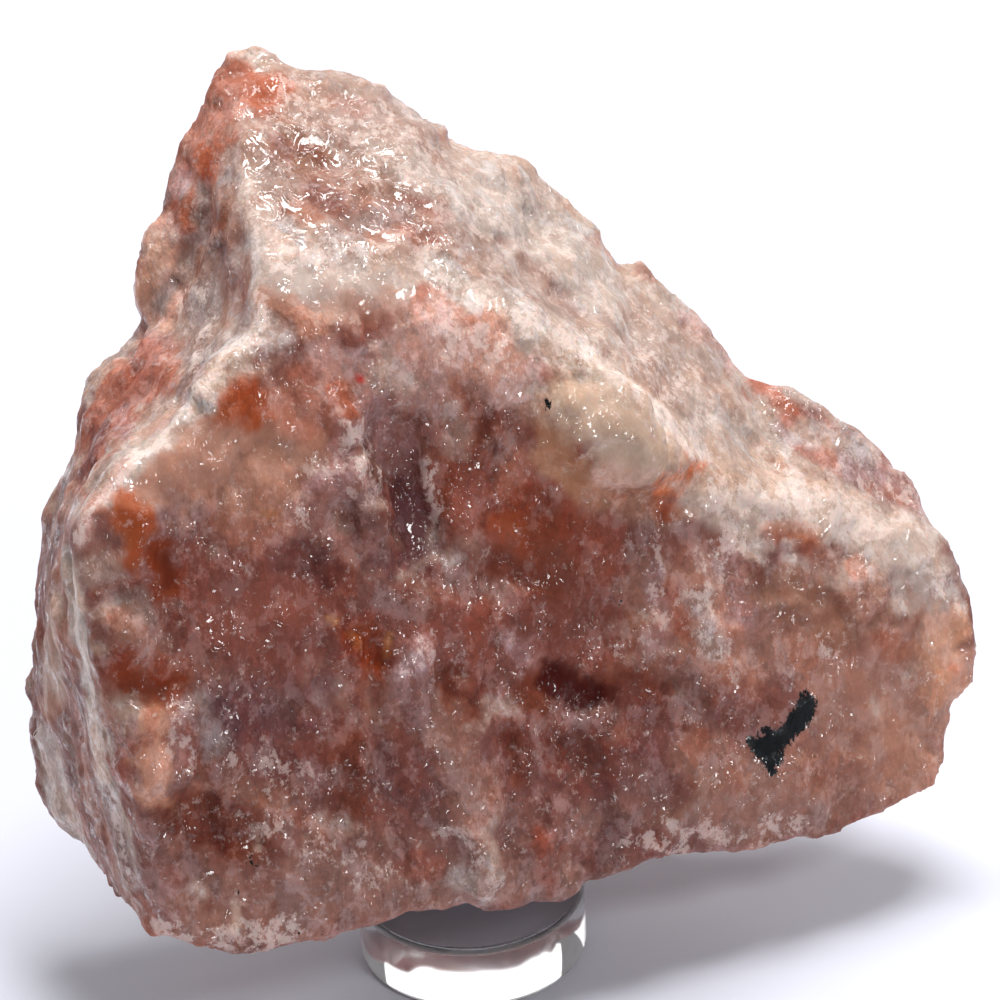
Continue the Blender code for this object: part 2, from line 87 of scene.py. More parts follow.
# Floor and light
# A sheet of white card in a room with pale walls. It lies a hair below the disc. A soft box overhead
# gives most of the light, and weaker ones behind and on the left fill the shade. A small lamp in
# front makes the glints.
FLOOR_SIZE = 3.0
FLOOR_BELOW_DISC = 0.0001
FLOOR_WHITE = (0.71, 0.73, 0.82)
WALL_LIGHT = 0.2
WALL_WHITE = (1.0, 0.97, 0.96)
CARD_ROUGHNESS = 0.7
CARD_GLOSS = 0.2
LIGHTS = (
    # place, what it shines on, width, depth and watts
    ((0.05, 0.07, 0.62), (0.0, 0.0, 0.03), 0.3, 0.16, 3.95),
    ((0.0, 0.5, 0.3), (0.0, 0.0, 0.01), 0.9, 0.34, 1.25),
    ((-0.5, 0.08, 0.22), (0.0, 0.0, 0.03), 0.3, 0.3, 0.45),
    ((0.2, -0.3, 0.38), (0.0, 0.0, 0.03), 0.09, 0.09, 0.62),
)

bpy.ops.mesh.primitive_plane_add(size=FLOOR_SIZE, location=(0.0, 0.0, -FLOOR_BELOW_DISC))
floor = bpy.context.object
floor.name = "floor"
card = bpy.data.materials.new("white_card")
card.use_nodes = True
card_shader = card.node_tree.nodes["Principled BSDF"]
card_shader.inputs["Base Color"].default_value = (*FLOOR_WHITE, 1.0)
card_shader.inputs["Roughness"].default_value = CARD_ROUGHNESS
card_shader.inputs["Specular IOR Level"].default_value = CARD_GLOSS
floor.data.materials.append(card)

for place, aim, width, depth, watts in LIGHTS:
    turn = (Vector(aim) - Vector(place)).to_track_quat("-Z", "Y").to_euler()
    bpy.ops.object.light_add(type="AREA", location=place, rotation=turn)
    light = bpy.context.object.data
    light.shape = "RECTANGLE"
    light.size = width
    light.size_y = depth
    light.energy = watts

walls = bpy.data.worlds.new("pale_walls")
walls.use_nodes = True
wall_light = walls.node_tree.nodes["Background"]
wall_light.inputs["Color"].default_value = (*WALL_WHITE, 1.0)
wall_light.inputs["Strength"].default_value = WALL_LIGHT
bpy.context.scene.world = walls
bpy.context.scene.view_settings.view_transform = "Standard"


# Display disc
# A short disc cut from clear acrylic rod, polished, with its rims left matte where they were just
# broken. The stone only lies on it. It is a cylinder whose two rims are bevelled.
DISC_SIDES = 128
DISC_RIM = 0.0006
DISC_RIM_STEPS = 4
SHARP_RIM = math.radians(50)
SMOOTH_BELOW = math.radians(30)
MATTE_SPAN = (0.1 * DISC_RIM, 0.9 * DISC_RIM)
POLISHED = 0.05
MATTE = 0.5
ACRYLIC_TINT = (0.985, 0.99, 1.0)
ACRYLIC_IOR = 1.49

bpy.ops.object.select_all(action="DESELECT")
bpy.ops.mesh.primitive_cylinder_add(
    vertices=DISC_SIDES, radius=(disc_high.x - disc_low.x) / 2, depth=disc_high.z - disc_low.z,
    location=disc_middle)
disc = bpy.context.object
disc.name = "clear_disc"
bpy.ops.object.transform_apply(location=True, rotation=True, scale=True)
bpy.ops.object.mode_set(mode="EDIT")
bpy.ops.mesh.select_mode(type="EDGE")
bpy.ops.mesh.select_all(action="DESELECT")
bpy.ops.mesh.edges_select_sharp(sharpness=SHARP_RIM)
bpy.ops.mesh.bevel(offset=DISC_RIM, segments=DISC_RIM_STEPS)
bpy.ops.object.mode_set(mode="OBJECT")
bpy.ops.object.shade_smooth_by_angle(angle=SMOOTH_BELOW)

# The matte rims are the corners in the middle of each bevel.
matte_rim = disc.data.attributes.new("matte_rim", "FLOAT", "POINT")
for corner, matte in zip(disc.data.vertices, matte_rim.data):
    from_face = min(disc_high.z - corner.co.z, corner.co.z - disc_low.z)
    matte.value = float(MATTE_SPAN[0] < from_face < MATTE_SPAN[1])

acrylic = bpy.data.materials.new("clear_acrylic")
acrylic.use_nodes = True
acrylic_shader = acrylic.node_tree.nodes["Principled BSDF"]
acrylic_shader.inputs["Base Color"].default_value = (*ACRYLIC_TINT, 1.0)
acrylic_shader.inputs["IOR"].default_value = ACRYLIC_IOR
acrylic_shader.inputs["Transmission Weight"].default_value = 1.0
rim_amount = acrylic.node_tree.nodes.new("ShaderNodeAttribute")
rim_amount.attribute_name = "matte_rim"
rim_finish = acrylic.node_tree.nodes.new("ShaderNodeMapRange")
rim_finish.inputs["To Min"].default_value = POLISHED
rim_finish.inputs["To Max"].default_value = MATTE
acrylic.node_tree.links.new(rim_amount.outputs["Fac"], rim_finish.inputs["Value"])
acrylic.node_tree.links.new(rim_finish.outputs["Result"], acrylic_shader.inputs["Roughness"])
disc.data.materials.append(acrylic)
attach(disc, "root")
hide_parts("disc_stand")


# Sunstone
# One rough lump of feldspar, broken along its cleavage and never polished. Rust, salmon, cream and
# lilac run into each other in it, and its broken faces are glassy enough to look damp.
MM = 0.001
FINE_MESH = 0.41 * MM
SOFTENING = 0.5
SOFTENING_ROUNDS = 3
FACET_EDGE = 0.14
SAME_CORNER = 0.01 * MM

# The cleavage face at the front: turned to the viewer's right, and rising above level.
FRONT_TURNED = math.radians(22.0)
FRONT_RISING = math.radians(13.0)

stone = bpy.data.objects.new("rough_sunstone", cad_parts["sunstone"].data.copy())
bpy.context.scene.collection.objects.link(stone)
bpy.ops.object.select_all(action="DESELECT")
stone.select_set(True)
bpy.context.view_layer.objects.active = stone
bpy.ops.object.mode_set(mode="EDIT")
bpy.ops.mesh.select_all(action="SELECT")
bpy.ops.mesh.remove_doubles(threshold=SAME_CORNER)
bpy.ops.object.mode_set(mode="OBJECT")
even = stone.modifiers.new("even", "REMESH")
even.mode = "VOXEL"
even.voxel_size = FINE_MESH
bpy.ops.object.modifier_apply(modifier="even")
soften = stone.modifiers.new("soften", "SMOOTH")
soften.factor = SOFTENING
soften.iterations = SOFTENING_ROUNDS
bpy.ops.object.modifier_apply(modifier="soften")


def corners_of(mesh):
    """Places of all corners of a mesh, and the way that the surface faces there."""
    places = np.empty(len(mesh.vertices) * 3, np.float32)
    mesh.vertices.foreach_get("co", places)
    normals = np.empty(len(mesh.vertices) * 3, np.float32)
    mesh.vertex_normals.foreach_get("vector", normals)
    return places.reshape(-1, 3).astype(float), normals.reshape(-1, 3).astype(float)


def move_corners(mesh, places):
    """Give all corners of a mesh new places."""
    mesh.vertices.foreach_set("co", places.astype(np.float32).ravel())
    mesh.update()


def noise_at(places):
    """Smooth noise, from about -1 to 1, at each of many places."""
    return np.array([noise.noise(place) for place in places.tolist()])


def cloud_at(places):
    """Noise with ever finer detail in it, from about -1 to 1, at each of many places."""
    return np.array([noise.fractal(place, 0.8, 2.1, 4) for place in places.tolist()])


def eased(value, low, high):
    """0 below low, 1 above high, and a smooth rise between them."""
    share = np.clip((value - low) / (high - low), 0.0, 1.0)
    return share * share * (3.0 - 2.0 * share)


# Crystal directions: across and up the front face, and straight out of it.
crystal_out = np.array((
    math.sin(FRONT_TURNED) * math.cos(FRONT_RISING),
    -math.cos(FRONT_TURNED) * math.cos(FRONT_RISING),
    math.sin(FRONT_RISING),
))
crystal_across = np.cross((0.0, 0.0, 1.0), crystal_out)
crystal_across /= np.linalg.norm(crystal_across)
crystal_up = np.cross(crystal_out, crystal_across)
crystal = np.stack((crystal_across, crystal_up, crystal_out))


def grain(places, lengths, shift, kind=noise_at):
    """Noise drawn out along the crystal, with one length in mm for each of its directions.

    The shift picks a part of the noise.
    """
    return kind(places / MM @ crystal.T / np.array(lengths) + shift)


def facets_at(places):
    """Height of flat facets that lean their own way and meet edge to edge, at each of many places."""
    heights = []
    for place in places.tolist():
        spans, middles = noise.voronoi(place)
        own, other = [
            (noise.cell_vector(middle) - Vector((0.5, 0.5, 0.5))).dot(Vector(place) - middle)
            for middle in middles[:2]
        ]
        inside = min((spans[1] - spans[0]) / FACET_EDGE, 1.0)
        heights.append(own * (1.0 + inside) / 2 + other * (1.0 - inside) / 2)
    return np.array(heights)


# Places in the picture, for what is known by where the photograph shows it. Depth counts less than
# what is seen, so that a mark covers its relief. The outline of a mark wanders by a share of the
# mark's half width, and by no more than WARP_PX pixels. With the seed it wanders the same each run.
WARP_PX = 14.0
WARP_LENGTH = 3.0 * MM
WARP_SEED = 7
DEPTH_SHARE = 0.35
noise.seed_set(WARP_SEED)
smooth_stone = BVHTree.FromObject(stone, bpy.context.evaluated_depsgraph_get())


def in_picture(points):
    """Column, row and shortened depth of places, all in pixels of the picture."""
    away = points - np.array(eye)
    depth = away @ np.array(view_forward)
    columns = PICTURE_MIDDLE + LENS_PX * (away @ np.array(view_right)) / depth
    rows = PICTURE_MIDDLE - LENS_PX * (away @ np.array(view_up)) / depth
    return np.stack((columns, rows, depth * PX_PER_METRE * DEPTH_SHARE), axis=1)


def on_stone(column, row):
    """Where the line of sight through a place in the picture meets the stone."""
    line = (
        view_forward
        + view_right * (column - PICTURE_MIDDLE) / LENS_PX
        - view_up * (row - PICTURE_MIDDLE) / LENS_PX
    )
    met = smooth_stone.ray_cast(eye, line)[0]
    if met is None:
        met = smooth_stone.find_nearest(eye + line * LENS_PX / PX_PER_METRE)[0]
    return np.array(met)


def distance_to_stroke(seen, points):
    """How far each place is from a stroke, in pixels of the picture."""
    route = in_picture(np.array([on_stone(*point) for point in points]))
    nearest = np.linalg.norm(seen - route[0], axis=1)
    for start, end in zip(route[:-1], route[1:]):
        along = end - start
        share = np.clip((seen - start) @ along / (along @ along), 0.0, 1.0)
        nearest = np.minimum(nearest, np.linalg.norm(seen - start - share[:, None] * along, axis=1))
    return nearest


def turbulence_at(places, length, octaves):
    """Irregular shifts in three directions, of up to about 1, at each of many places."""
    return np.array([noise.turbulence_vector(place, octaves, False) for place in (places / length).tolist()])


# Lumps and hollows of the front: height in mm, half width in pixels, and the points it runs through.
LUMP_EDGE = (0.0, 1.4)
LUMP_WARP = 0.5
LUMPS = [
    (1.3, 44, (588, 416), (640, 456)),
    (0.7, 30, (132, 505), (134, 555)),
    (0.6, 26, (128, 628), (128, 636)),
    (0.5, 18, (150, 712), (148, 745), (156, 785)),
    (0.4, 18, (182, 712), (184, 750)),
    (0.9, 26, (462, 725), (470, 790), (490, 880)),
    (0.5, 18, (548, 810), (548, 880)),
    (0.7, 30, (300, 322), (350, 328), (410, 322)),
    (0.5, 18, (224, 200), (224, 235)),
    (0.5, 16, (186, 200), (184, 220)),
    (0.7, 24, (158, 245), (154, 300)),
    (0.6, 34, (238, 400), (260, 412)),
    (0.5, 18, (418, 650), (400, 695)),
    (0.6, 30, (870, 600), (900, 650)),
    (0.8, 18, (345, 425), (362, 470), (376, 520)),
    (0.7, 30, (780, 500), (860, 520)),
    (0.5, 26, (700, 590), (715, 660)),
    (-0.8, 28, (388, 430), (402, 480), (416, 552)),
    (-0.35, 30, (560, 740), (612, 765)),
    (-0.3, 26, (296, 552), (335, 575)),
    (-0.35, 18, (166, 548), (158, 595)),
    (-0.25, 20, (130, 676), (160, 690)),
    (-0.6, 14, (512, 735), (516, 775)),
    (-0.5, 6, (497, 441), (491, 500), (482, 528)),
    (-0.7, 16, (202, 192), (199, 236), (184, 268), (159, 302), (135, 330)),
    (-0.6, 16, (655, 508), (690, 512)),
    (-0.5, 16, (358, 640), (372, 660)),
    (-0.5, 16, (452, 682), (468, 715)),
    (-0.5, 24, (190, 815), (235, 835)),
    (-0.5, 18, (780, 590), (830, 610)),
]

places, normals = corners_of(stone.data)
seen = in_picture(places)
warp = turbulence_at(places, WARP_LENGTH, 4)
for height, half_width, *points in LUMPS:
    shifted = seen + warp * min(WARP_PX, half_width * LUMP_WARP)
    reach = distance_to_stroke(shifted, points) / half_width
    places += normals * (height * MM * (1.0 - eased(reach, *LUMP_EDGE)))[:, None]
move_corners(stone.data, places)

# Broken surface: leaning facets, soft swells that meet in creases, steps left by the cleavage, and
# thin layers where the crystal is seen from its side. Heights and lengths are in mm. CALM and LIVELY
# are how much of this relief there is where it is least and most.
STEP_HEIGHT = 0.15
STEP_EDGE = (0.35, 0.65)
SUNK = 0.12
CALM = 0.45
LIVELY = 1.2
CLEAR_OF_DISC = 0.3 * MM

places, normals = corners_of(stone.data)
faces_out = np.abs(normals @ crystal_out)
facets = 1.1 * grain(places, (3.6, 5.0, 3.6), 4.4, facets_at)
facets += 0.3 * grain(places, (1.4, 2.0, 1.4), 9.7, facets_at)
swells = 0.3 * np.abs(grain(places, (4.2, 6.0, 4.2), 3.1))
swells = swells + 0.25 * np.abs(grain(places, (1.7, 2.6, 1.7), 8.4))
field = 3.0 * (grain(places, (3.4, 9.0, 5.0), 21.3) + 0.35 * grain(places, (1.1, 2.8, 2.0), 5.6))
steps = STEP_HEIGHT * (np.floor(field) + eased(field - np.floor(field), *STEP_EDGE))
layers = 0.12 * grain(places, (9.0, 9.0, 0.7), 14.9) + 0.03 * grain(places, (4.0, 4.0, 0.3), 1.7)
height = facets + swells - SUNK + steps * (0.3 + 0.6 * faces_out) + layers * (1.0 - faces_out)
height *= CALM + (LIVELY - CALM) * eased(grain(places, (7.0, 9.0, 7.0), 71.0), -0.3, 0.4)
places = places + normals * (height * MM)[:, None]
move_corners(stone.data, places)
places, normals = corners_of(stone.data)
fine = 0.07 * np.abs(grain(places, (0.8, 1.0, 0.8), 33.0))
places = places + normals * (fine * MM)[:, None]
places[:, 2] = np.maximum(places[:, 2], disc_high.z + CLEAR_OF_DISC)
move_corners(stone.data, places)

# Colours of the feldspar, as red, green and blue of a screen.
TINTS = {
    "chalk": (250, 234, 224),
    "cream": (228, 206, 194),
    "bone": (214, 195, 187),
    "pale pink": (214, 198, 190),
    "blush": (242, 193, 179),
    "rose": (214, 170, 163),
    "milky": (222, 192, 170),
    "fawn": (180, 148, 136),
    "honey": (206, 152, 118),
    "tan": (205, 152, 131),
    "apricot": (240, 180, 146),
    "salmon": (196, 128, 108),
    "orange": (200, 106, 62),
    "bright orange": (240, 136, 84),
    "clay": (191, 140, 124),
    "dusty pink": (173, 131, 121),
    "olive brown": (172, 124, 104),
    "rust": (166, 94, 77),
    "brick": (152, 90, 78),
    "red brown": (140, 74, 54),
    "burnt orange": (158, 68, 28),
    "maroon": (84, 18, 8),
    "plum": (134, 86, 90),
    "deep plum": (112, 64, 68),
    "plum brown": (138, 84, 78),
    "mauve": (150, 106, 99),
    "lilac": (194, 150, 149),
    "lilac grey": (175, 152, 146),
    "red": (214, 44, 40),
    # Copper flecks in the feldspar, painted as small bright specks that stand for their glints: a painted
    # highlight.
    "gold": (216, 146, 80),
}

# Stains and a few painted glints, as strokes across the picture: tint, strength, half width, and the points
# it runs through.
STAIN_EDGE = (0.5, 1.35)
STAIN_RAGGED = 0.35
STAIN_WARP = 0.8
STAINS_AND_PAINTED_GLINTS = {
    "washes over the front": [
        ("brick", 1.0, 70, (200, 600), (320, 620), (450, 640), (560, 620)),
        ("rust", 0.9, 50, (470, 480), (540, 530), (600, 560)),
        ("plum brown", 0.9, 60, (260, 740), (420, 780), (560, 790), (680, 775)),
        ("mauve", 0.9, 46, (220, 865), (380, 860), (560, 845), (660, 825)),
        ("clay", 0.9, 60, (680, 600), (760, 660), (860, 700)),
        ("clay", 0.8, 50, (700, 780), (800, 790), (890, 760)),
        ("tan", 0.9, 46, (200, 470), (280, 430), (250, 500)),
        ("dusty pink", 0.8, 30, (200, 920), (300, 910), (400, 890), (560, 880)),
    ],
    "washes over the top": [
        ("fawn", 0.95, 60, (280, 130), (330, 170), (400, 200), (450, 225)),
        ("pale pink", 0.95, 60, (500, 190), (580, 260), (660, 340), (740, 420)),
        ("bone", 0.95, 26, (275, 270), (360, 265), (450, 275)),
        ("cream", 0.95, 28, (480, 300), (560, 345), (640, 405), (710, 480), (790, 500), (880, 530)),
        ("fawn", 0.6, 26, (640, 320), (700, 370), (720, 400)),
    ],
    "upper face": [
        ("fawn", 0.7, 22, (290, 84), (350, 104), (430, 144)),
        ("clay", 0.7, 12, (336, 101), (360, 104)),
        ("olive brown", 0.9, 16, (294, 135), (313, 173)),
        ("clay", 0.8, 22, (300, 200), (350, 215), (420, 225)),
        ("brick", 0.7, 9, (280, 140), (292, 150)),
        ("plum brown", 0.6, 11, (312, 190), (342, 208)),
        ("olive brown", 0.7, 10, (286, 212), (320, 216)),
        ("rust", 0.55, 8, (402, 220), (436, 238)),
        ("rust", 0.45, 7, (398, 198), (446, 214)),
        ("lilac grey", 0.6, 12, (330, 235), (400, 212), (455, 240)),
        ("pale pink", 0.6, 14, (380, 150), (430, 175)),
    ],
    "peak": [
        ("salmon", 1.0, 26, (232, 84), (266, 96)),
        ("orange", 0.9, 18, (238, 84), (262, 92)),
        ("burnt orange", 0.5, 14, (240, 86), (262, 94)),
        ("pale pink", 0.6, 7, (240, 56), (268, 60)),
    ],
    "outer flank": [
        ("salmon", 0.95, 24, (228, 90), (212, 130), (196, 175)),
        ("orange", 0.8, 12, (205, 155), (206, 168)),
        ("orange", 0.7, 8, (229, 140), (222, 148)),
        ("lilac", 0.7, 10, (183, 172), (178, 186)),
        ("orange", 0.7, 13, (186, 204), (182, 220)),
        ("blush", 0.95, 28, (160, 245), (154, 300)),
        ("apricot", 0.7, 14, (152, 250), (150, 290)),
        ("pale pink", 0.5, 16, (158, 246), (156, 300)),
        ("tan", 0.8, 15, (224, 195), (224, 235)),
        ("orange", 0.5, 8, (224, 215), (216, 226)),
        ("lilac grey", 0.85, 9, (202, 192), (199, 236), (184, 268), (159, 302), (135, 330)),
        ("lilac grey", 0.9, 22, (205, 300), (205, 335), (196, 368)),
        ("olive brown", 0.6, 8, (221, 280), (226, 322)),
        ("olive brown", 0.7, 5, (246, 250), (248, 286)),
        ("bone", 0.9, 10, (250, 180), (254, 250), (259, 300)),
        ("bone", 0.9, 10, (258, 320), (246, 345), (214, 368)),
    ],
    "brow": [
        ("bone", 0.8, 24, (280, 272), (330, 285), (400, 284)),
        ("chalk", 0.7, 11, (425, 255), (444, 272)),
        ("chalk", 0.5, 14, (444, 264), (474, 284)),
        ("tan", 0.9, 18, (272, 300), (300, 325), (318, 335)),
        ("tan", 0.6, 18, (330, 305), (405, 312)),
        ("rust", 0.7, 15, (342, 328), (392, 330)),
        ("salmon", 0.8, 9, (424, 294), (416, 322)),
        ("blush", 0.8, 12, (440, 300), (455, 325)),
    ],
    "below the brow": [
        ("blush", 1.0, 34, (415, 350), (480, 348), (520, 385)),
        ("bright orange", 0.5, 6, (460, 314), (476, 322)),
        ("rose", 0.95, 26, (330, 368), (385, 374), (430, 395)),
        ("lilac", 0.9, 22, (370, 398), (350, 430), (336, 470)),
        ("pale pink", 0.6, 18, (380, 366), (392, 384)),
        ("mauve", 0.6, 14, (354, 418), (348, 452)),
        ("orange", 0.7, 11, (338, 382), (352, 408)),
        ("tan", 0.7, 9, (448, 386), (450, 412)),
        ("red", 0.9, 4, (357, 374), (359, 377)),
        ("orange", 0.95, 26, (236, 400), (258, 412)),
        ("burnt orange", 0.5, 20, (240, 402), (256, 412)),
        ("salmon", 0.8, 24, (290, 395), (300, 430)),
        ("tan", 0.9, 28, (130, 480), (200, 450), (270, 460)),
        ("olive brown", 0.7, 24, (276, 450), (306, 452)),
        ("lilac", 0.6, 16, (322, 480), (345, 490)),
        # A painted glint of a copper fleck.
        ("gold", 0.5, 5, (268, 513), (272, 516)),
        ("salmon", 0.6, 20, (210, 520), (260, 540)),
    ],
    "cavity": [
        ("lilac", 0.7, 24, (388, 436), (402, 456)),
        ("deep plum", 1.0, 20, (400, 488), (408, 510), (414, 552)),
        ("maroon", 0.6, 6, (366, 440), (378, 480), (388, 515), (402, 545)),
        ("maroon", 0.4, 8, (416, 424), (422, 438)),
        ("plum", 0.5, 10, (404, 440), (418, 490), (420, 530)),
        ("plum", 0.6, 12, (380, 560), (430, 575)),
        ("mauve", 0.7, 16, (372, 590), (420, 610)),
    ],
    "fractures": [
        ("salmon", 0.85, 20, (455, 400), (460, 440)),
        ("rust", 0.8, 18, (470, 478), (470, 524)),
        ("rust", 0.8, 14, (482, 415), (525, 435)),
        ("pale pink", 0.5, 14, (452, 414), (462, 446)),
        ("red brown", 0.8, 9, (484, 412), (486, 430), (478, 462)),
        ("dusty pink", 0.5, 14, (446, 420), (456, 446)),
        ("red brown", 0.8, 7, (450, 480), (446, 505), (440, 516)),
        ("maroon", 0.5, 4, (497, 441), (491, 500), (482, 528)),
        ("salmon", 0.7, 14, (515, 455), (508, 490)),
        ("orange", 0.6, 13, (500, 520), (520, 535)),
        ("burnt orange", 0.6, 30, (520, 516), (575, 546)),
        ("red brown", 0.8, 26, (510, 566), (560, 590)),
        ("maroon", 0.3, 18, (505, 566), (545, 576)),
        ("red brown", 0.5, 26, (550, 618), (590, 622)),
        ("red brown", 0.6, 14, (540, 556), (580, 560)),
        ("dusty pink", 0.6, 12, (424, 592), (460, 600), (500, 590)),
        ("brick", 0.8, 18, (440, 600), (500, 620)),
    ],
    "bulge": [
        ("honey", 0.9, 16, (546, 430), (556, 466), (600, 498), (640, 506)),
        ("apricot", 0.6, 12, (604, 474), (636, 478)),
        ("honey", 0.9, 12, (562, 440), (578, 466)),
        ("milky", 0.95, 30, (566, 394), (605, 425), (646, 462)),
        ("milky", 0.9, 18, (606, 462), (640, 472)),
        ("bright orange", 1.0, 16, (668, 488), (690, 480), (692, 468)),
        ("orange", 0.85, 9, (652, 508), (684, 511)),
        ("clay", 0.6, 18, (590, 505), (640, 515)),
        ("apricot", 0.6, 14, (674, 482), (690, 486)),
        ("bright orange", 0.7, 11, (672, 486), (690, 484)),
        ("blush", 0.5, 16, (606, 470), (640, 474)),
    ],
    "long ridge": [
        ("milky", 0.6, 16, (540, 340), (590, 366), (630, 400)),
        ("chalk", 0.4, 8, (520, 326), (580, 348), (640, 400), (690, 450)),
        ("cream", 0.9, 26, (700, 495), (745, 520)),
    ],
    "slope": [
        ("salmon", 0.5, 9, (596, 240), (650, 275)),
        ("brick", 0.45, 7, (500, 240), (545, 280), (575, 315)),
        ("olive brown", 0.5, 7, (600, 320), (650, 360), (680, 390)),
        ("fawn", 0.6, 12, (640, 372), (690, 408), (720, 424)),
        ("cream", 0.8, 16, (700, 440), (750, 455), (790, 470)),
        ("fawn", 0.6, 14, (530, 290), (580, 320)),
        ("rose", 0.6, 12, (690, 320), (730, 365)),
        ("bone", 0.95, 22, (700, 420), (752, 448)),
    ],
    "rear lobe": [
        ("lilac", 0.8, 24, (796, 424), (860, 460), (905, 500)),
        ("salmon", 0.95, 15, (758, 388), (825, 398)),
        ("pale pink", 0.7, 14, (800, 430), (870, 455)),
        ("salmon", 0.6, 8, (800, 452), (835, 462)),
        ("salmon", 0.6, 8, (870, 488), (905, 500)),
    ],
    "cream shoulder": [
        ("cream", 0.9, 26, (780, 495), (860, 520), (920, 545)),
        ("bright orange", 0.4, 12, (778, 530), (806, 534)),
        ("bright orange", 0.45, 9, (856, 564), (862, 576)),
        ("bone", 0.8, 24, (900, 560), (945, 610)),
    ],
    "right of the front": [
        ("rust", 0.8, 24, (590, 540), (620, 560)),
        ("clay", 0.5, 14, (640, 560), (650, 600)),
        ("rust", 0.6, 10, (674, 584), (680, 630)),
        ("lilac", 0.8, 12, (655, 570), (660, 640)),
        ("lilac grey", 0.8, 14, (700, 600), (718, 655)),
        ("lilac", 0.7, 16, (735, 560), (750, 620)),
        ("mauve", 0.5, 20, (640, 540), (676, 550)),
        ("rust", 0.3, 18, (650, 540), (672, 550)),
        ("olive brown", 0.85, 26, (790, 590), (830, 615), (840, 630)),
        ("clay", 0.8, 26, (870, 600), (890, 650)),
        ("apricot", 0.9, 28, (945, 636), (955, 690)),
        ("blush", 0.5, 16, (936, 630), (950, 660)),
        ("blush", 0.6, 12, (972, 650), (956, 730), (930, 790)),
        ("bright orange", 0.6, 5, (953, 668), (956, 672)),
        ("orange", 0.4, 12, (880, 640), (900, 650)),
        ("tan", 0.8, 28, (890, 720), (910, 770)),
        ("clay", 0.6, 16, (815, 790), (832, 815)),
        ("bone", 0.5, 6, (872, 698), (876, 712)),
        ("mauve", 0.6, 20, (690, 690), (735, 720)),
        ("dusty pink", 0.7, 20, (700, 812), (780, 815), (860, 800)),
        ("olive brown", 0.7, 16, (665, 812), (704, 785)),
        ("rose", 0.5, 8, (668, 828), (684, 832)),
    ],
    "round the black grain": [
        ("plum brown", 0.7, 24, (730, 700), (750, 730), (790, 700)),
        ("mauve", 0.6, 9, (744, 750), (760, 760)),
    ],
    "middle of the front": [
        ("brick", 0.8, 28, (540, 630), (600, 620)),
        ("rust", 0.6, 12, (574, 648), (600, 655)),
        ("lilac", 0.6, 16, (510, 646), (545, 660)),
        ("red brown", 0.9, 22, (534, 700), (548, 680), (600, 684), (646, 696)),
        ("maroon", 1.0, 20, (552, 678), (576, 688)),
        ("maroon", 0.8, 13, (590, 682), (612, 698)),
        ("red brown", 0.8, 16, (534, 702), (546, 714)),
        # The faint lilac line below the maroon patch is painted glints.
        ("lilac", 0.4, 9, (556, 716), (578, 720), (604, 715)),
        ("maroon", 1.0, 12, (548, 686), (594, 690)),
        ("plum brown", 0.9, 28, (556, 748), (612, 765)),
        ("red brown", 0.4, 26, (560, 745), (610, 760)),
        ("red brown", 0.5, 20, (644, 680), (652, 712)),
        ("plum brown", 0.8, 26, (640, 770), (664, 790)),
        ("plum brown", 0.7, 22, (640, 700), (655, 740)),
        ("red brown", 0.7, 9, (640, 655), (648, 690)),
        ("mauve", 0.7, 22, (640, 780), (620, 820)),
        ("red brown", 0.8, 13, (512, 735), (516, 778)),
        ("red brown", 0.8, 17, (448, 680), (462, 700), (458, 718)),
        ("rust", 0.6, 10, (470, 625), (472, 670)),
        ("clay", 0.8, 22, (442, 735), (468, 770), (478, 830)),
        ("bone", 0.7, 14, (488, 830), (492, 872)),
        ("pale pink", 0.6, 12, (455, 880), (490, 898)),
        ("rust", 0.8, 14, (548, 836), (548, 884)),
        ("maroon", 0.5, 6, (546, 800), (548, 828)),
        ("dusty pink", 0.5, 12, (585, 812), (592, 834)),
        ("plum brown", 0.7, 20, (594, 854), (650, 842)),
        ("plum brown", 0.5, 22, (400, 780), (410, 815)),
        ("red brown", 0.9, 22, (346, 750), (350, 800)),
        ("lilac", 0.9, 14, (416, 650), (400, 695)),
        ("burnt orange", 0.9, 20, (352, 632), (372, 656)),
        # Painted glints of copper flecks in the gold brown patch.
        ("gold", 0.55, 4, (388, 636), (387, 658)),
        ("gold", 0.55, 4, (327, 616), (336, 622)),
        ("gold", 0.5, 4, (352, 634), (358, 648)),
    ],
    "left of the front": [
        ("plum brown", 0.8, 24, (290, 558), (335, 570)),
        ("maroon", 0.5, 14, (318, 545), (330, 575)),
        ("brick", 0.7, 30, (190, 590), (260, 610)),
        ("plum", 0.6, 28, (208, 706), (250, 716), (310, 700)),
        ("deep plum", 0.7, 20, (210, 716), (222, 730)),
        ("lilac grey", 0.6, 16, (198, 700), (214, 744)),
        ("lilac", 0.8, 12, (174, 704), (178, 760)),
        ("dusty pink", 0.3, 10, (270, 690), (300, 712)),
        ("olive brown", 0.5, 16, (235, 790), (280, 800)),
        ("salmon", 0.5, 6, (275, 810), (276, 824)),
        ("red brown", 0.95, 28, (180, 815), (238, 835)),
        ("maroon", 0.5, 9, (208, 800), (222, 842)),
        ("chalk", 0.6, 3, (254, 826), (259, 848)),
        ("dusty pink", 0.8, 26, (190, 905), (270, 912)),
        ("dusty pink", 0.7, 22, (300, 865), (380, 880)),
        ("chalk", 0.5, 6, (199, 889), (203, 893)),
        ("chalk", 0.5, 6, (236, 900), (238, 930)),
        ("rust", 0.6, 14, (405, 862), (430, 865)),
        ("salmon", 0.5, 12, (300, 815), (320, 835)),
    ],
    "left lumps": [
        ("orange", 0.95, 22, (130, 500), (134, 552)),
        ("burnt orange", 0.5, 16, (134, 520), (138, 556)),
        ("burnt orange", 1.0, 16, (166, 545), (163, 592)),
        ("maroon", 0.5, 9, (168, 556), (166, 584)),
        ("fawn", 0.8, 14, (88, 560), (112, 572)),
